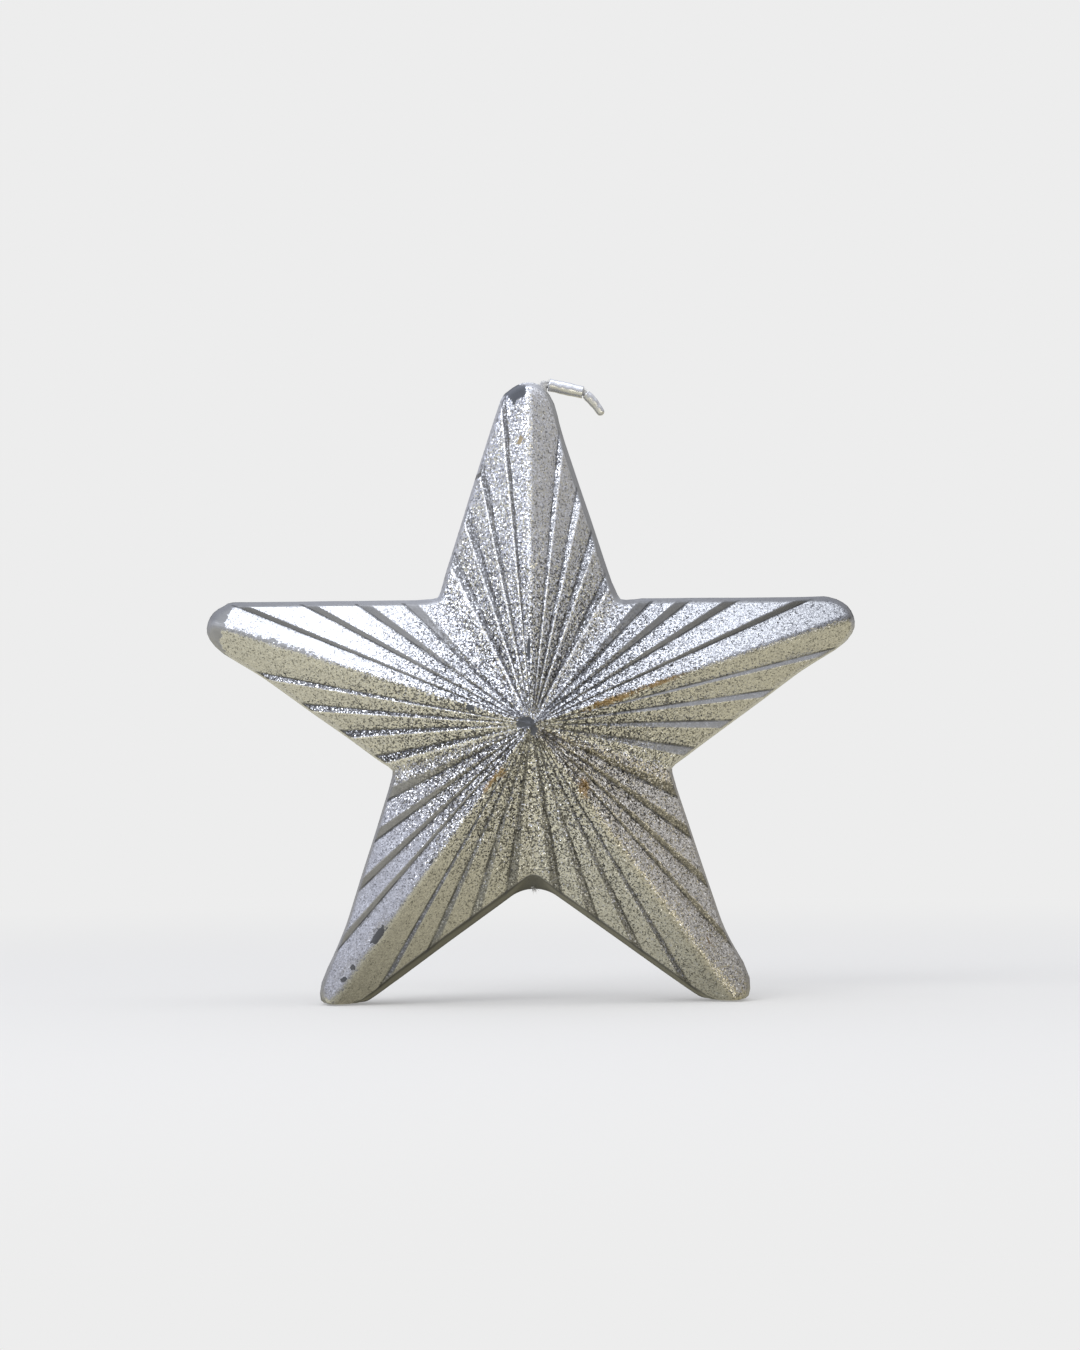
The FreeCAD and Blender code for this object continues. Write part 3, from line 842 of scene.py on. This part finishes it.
def fibres(start, way, length, spread, count, thick, seed):
    """Loose cotton fibres fanning out of a place."""
    rng = np.random.default_rng(seed)
    verts, faces = [], []
    for _ in range(count):
        tip = Vector(rng.normal(0, spread, 3)) + way * length * rng.uniform(0.5, 1.0)
        bow = Vector(rng.normal(0, spread * 0.5, 3))
        points = [start + tip * u + bow * math.sin(math.pi * u) for u in np.linspace(0, 1, 6)]
        rings, tube = along_path(points, 5, lambda share, turn: thick * (1 - 0.7 * share))
        base = len(verts)
        verts += rings.tolist()
        faces += [[base + i for i in face] for face in tube]
    return verts, faces


def joined(*parts):
    """Several meshes' points and faces as one mesh's."""
    verts, faces = [], []
    for v, f in parts:
        base = len(verts)
        verts += list(v)
        faces += [[base + i for i in face] for face in f]
    return np.array(verts), faces


def bent_line(before, corner, after, reach, count):
    """A line that turns smoothly at a corner: points before, round and after it."""
    points = []
    for u in np.linspace(-1, 1, count):
        if u < 0:
            points.append(corner + before * (-u) * reach[0])
        else:
            points.append(corner + after * u * reach[1])
    soft = []
    for k in range(count):
        lo, hi = max(k - 2, 0), min(k + 2, count - 1)
        soft.append(sum((points[i] for i in range(lo, hi + 1)), Vector()) / (hi - lo + 1))
    soft[0], soft[-1] = points[0], points[-1]
    return soft


def build_root_braid(cotton):
    """The braid where it leaves the wax and folds over, with loose fibres at the fold."""
    root = bent_line(-THROUGH_WAY, FOLD, FIRST_WAY, (2.2, 6.0), 40)
    braid = strand_tubes(root, radius=0.30, strands=3, turns=3.0, thick=0.34, seed=11)
    over = fibres(FOLD + FIRST_WAY * 0.6, FIRST_WAY * 0.7 + Vector((0, 0, 0.5)),
                  length=1.6, spread=0.45, count=22, thick=0.035, seed=12)
    round_root = fibres(FOLD - THROUGH_WAY * 0.4, Vector((-0.1, 0, 0.6)),
                        length=1.0, spread=0.5, count=16, thick=0.035, seed=13)
    piece = new_mesh("cotton_root_braid", *joined(braid, over, round_root), None, "cotton", cotton)
    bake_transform(piece)
    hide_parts("wick_stub")


def build_crack_braid(cotton):
    """The braid that shows where the silvered wax has cracked."""
    past = bent_line(-FIRST_WAY, CRACK, LAST_WAY, (1.6, 2.4), 40)
    braid = strand_tubes(past, radius=0.28, strands=3, turns=2.4, thick=0.33, seed=21)
    loose = fibres(CRACK + Vector((0, 0, 0.4)), Vector((0.3, 0, 0.5)),
                   length=0.7, spread=0.35, count=12, thick=0.03, seed=22)
    piece = new_mesh("cotton_crack_braid", *joined(braid, loose), None, "cotton", cotton)
    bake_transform(piece)
    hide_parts("wick_end")


def build_cut_foot(cotton):
    """The wick's cut end under the notch between the legs."""
    foot = Vector((0, 0, 23.2))
    line = [foot + Vector((0, 0, 1.5 - 0.2 * k)) for k in range(14)]
    braid = strand_tubes(line, radius=0.3, strands=3, turns=0.7, thick=0.33, seed=31)
    frayed = fibres(foot + Vector((0, 0, -0.9)), Vector((0.05, 0, -1)),
                    length=1.1, spread=0.35, count=30, thick=0.045, seed=32)
    new_mesh("cotton_cut_foot", *joined(braid, frayed), "star", "cotton", cotton)


def build_wick(silver, cotton):
    build_sleeve("silvered_first_stretch", FOLD, FIRST_WAY, first=1.05, last=7.75, closed_end=False,
                 body="wick_first_stretch", node="stub_sleeve", material=silver, seed=3)
    build_sleeve("silvered_last_stretch", CRACK, LAST_WAY, first=0.40, last=5.50, closed_end=True,
                 body="wick_last_stretch", node="end_sleeve", material=silver, seed=5)
    build_root_braid(cotton)
    build_crack_braid(cotton)
    build_cut_foot(cotton)
    through_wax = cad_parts["wick_through_wax"].data
    through_wax.materials.clear()
    through_wax.materials.append(cotton)


# ---------------------------------------------------------------- stage, lights, camera

FLOOR_RADIUS = 3.0
FLOOR_DROP = 0.0001     # metres: the floor lies just under the feet
FLOOR_SIDES = 96

# The studio's colours from straight down (0) to straight up (1), and how they change from left to right.
SKY = ((0.0, (0.44, 0.41, 0.295)), (0.34, (0.64, 0.61, 0.445)), (0.5, (0.34, 0.335, 0.325)),
       (0.66, (0.42, 0.43, 0.49)), (0.86, (0.90, 0.95, 1.1)), (1.0, (0.80, 0.84, 0.97)))
LEFT_TINT, RIGHT_TINT = (0.985, 1.0, 1.045), (1.035, 1.0, 0.91)
SIDE_REACH = 0.9
LEFT_STRENGTH, RIGHT_STRENGTH = 1.18, 0.82

# The camera, in metres and degrees.
CAMERA_DISTANCE = 1.0
SEEN_HEIGHT = 0.2618    # how much of the star's own plane the picture's long side covers
CAMERA_AIM = (0.0017, 0.0, 0.0633)
CAMERA_ROLL = 0.6
SENSOR = 36.0


def build_floor():
    mesh = bpy.data.meshes.new("floor")
    turns = np.linspace(0, 2 * math.pi, FLOOR_SIDES + 1)[:-1]
    ring = [(FLOOR_RADIUS * math.cos(a), FLOOR_RADIUS * math.sin(a), -FLOOR_DROP) for a in turns]
    mesh.from_pydata(ring, [], [list(range(FLOOR_SIDES))])
    mesh.materials.append(floor_material())
    floor = bpy.data.objects.new("floor", mesh)
    bpy.context.collection.objects.link(floor)
    floor.visible_glossy = False


def sky_colour(tree, direction):
    """The studio's colour in a direction: cool above, warm below, warmer to the right."""
    up = tree.nodes.new("ShaderNodeMapRange")
    up.inputs["From Min"].default_value = -1
    tree.links.new(direction.outputs["Z"], up.inputs["Value"])
    ramp = tree.nodes.new("ShaderNodeValToRGB")
    tree.links.new(up.outputs[0], ramp.inputs[0])
    while len(ramp.color_ramp.elements) < len(SKY):
        ramp.color_ramp.elements.new(0.5)
    for element, (place, colour) in zip(ramp.color_ramp.elements, SKY):
        element.position = place
        element.color = (*colour, 1)
    rightward = tree.nodes.new("ShaderNodeMapRange")
    rightward.inputs["From Min"].default_value = -1
    tree.links.new(direction.outputs["X"], rightward.inputs["Value"])
    tint = tree.nodes.new("ShaderNodeMix")
    tint.data_type = "RGBA"
    tree.links.new(rightward.outputs[0], tint.inputs["Factor"])
    tint.inputs[6].default_value = (*LEFT_TINT, 1)
    tint.inputs[7].default_value = (*RIGHT_TINT, 1)
    tinted = tree.nodes.new("ShaderNodeVectorMath")
    tinted.operation = "MULTIPLY"
    tree.links.new(ramp.outputs[0], tinted.inputs[0])
    tree.links.new(tint.outputs[2], tinted.inputs[1])
    return tinted.outputs[0]


def build_world():
    """Soft studio surroundings, brighter to the left, behind a plain background."""
    world = bpy.data.worlds.new("studio")
    bpy.context.scene.world = world
    world.use_nodes = True
    tree = world.node_tree
    tree.nodes.clear()
    where = tree.nodes.new("ShaderNodeTexCoord")
    direction = tree.nodes.new("ShaderNodeSeparateXYZ")
    tree.links.new(where.outputs["Generated"], direction.inputs[0])
    strength = tree.nodes.new("ShaderNodeMapRange")
    limits = (-SIDE_REACH, SIDE_REACH, LEFT_STRENGTH, RIGHT_STRENGTH)
    for socket, value in zip(strength.inputs[1:5], limits):
        socket.default_value = value
    tree.links.new(direction.outputs["X"], strength.inputs["Value"])
    studio = tree.nodes.new("ShaderNodeBackground")
    tree.links.new(sky_colour(tree, direction), studio.inputs[0])
    tree.links.new(strength.outputs[0], studio.inputs[1])
    plain = tree.nodes.new("ShaderNodeBackground")
    plain.inputs[0].default_value = (*BACKGROUND, 1)
    path = tree.nodes.new("ShaderNodeLightPath")
    pick = tree.nodes.new("ShaderNodeMixShader")
    tree.links.new(path.outputs["Is Camera Ray"], pick.inputs[0])
    tree.links.new(studio.outputs[0], pick.inputs[1])
    tree.links.new(plain.outputs[0], pick.inputs[2])
    output = tree.nodes.new("ShaderNodeOutputWorld")
    tree.links.new(pick.outputs[0], output.inputs[0])


def lamp(name, place, target, size, watts, colour):
    data = bpy.data.lights.new(name, "AREA")
    data.shape = "RECTANGLE"
    data.size, data.size_y = size
    data.energy = watts
    data.color = colour
    light = bpy.data.objects.new(name, data)
    bpy.context.collection.objects.link(light)
    light.location = place
    light.rotation_euler = (Vector(target) - Vector(place)).to_track_quat("-Z", "Y").to_euler()


def build_lamps():
    middle, legs = (0, 0, 0.055), (0, 0, 0.03)
    lamp("key", (-0.55, -0.75, 0.85), middle, size=(0.55, 0.45), watts=4.6, colour=(0.93, 0.96, 1.0))
    lamp("top", (0.05, -0.15, 1.0), middle, size=(0.7, 0.5), watts=2.4, colour=(0.92, 0.96, 1.0))
    lamp("low_bounce", (0.25, -0.7, 0.02), legs, size=(0.6, 0.15), watts=0.6, colour=(1.0, 0.93, 0.72))


def build_camera():
    data = bpy.data.cameras.new("camera")
    camera = bpy.data.objects.new("camera", data)
    bpy.context.collection.objects.link(camera)
    data.sensor_width = SENSOR
    data.lens = SENSOR * CAMERA_DISTANCE / SEEN_HEIGHT
    camera.location = Vector(CAMERA_AIM) + Vector((0, -CAMERA_DISTANCE, 0))
    camera.rotation_euler = (math.radians(90), math.radians(CAMERA_ROLL), 0)
    data.clip_start, data.clip_end = 0.05, 20
    bpy.context.scene.camera = camera


bpy.context.scene.view_settings.view_transform = "Standard"
glitter, silver, cotton = glitter_material(), silver_wax_material(), cotton_material()
build_star(glitter)
build_wick(silver, cotton)
build_floor()
build_world()
build_lamps()
build_camera()
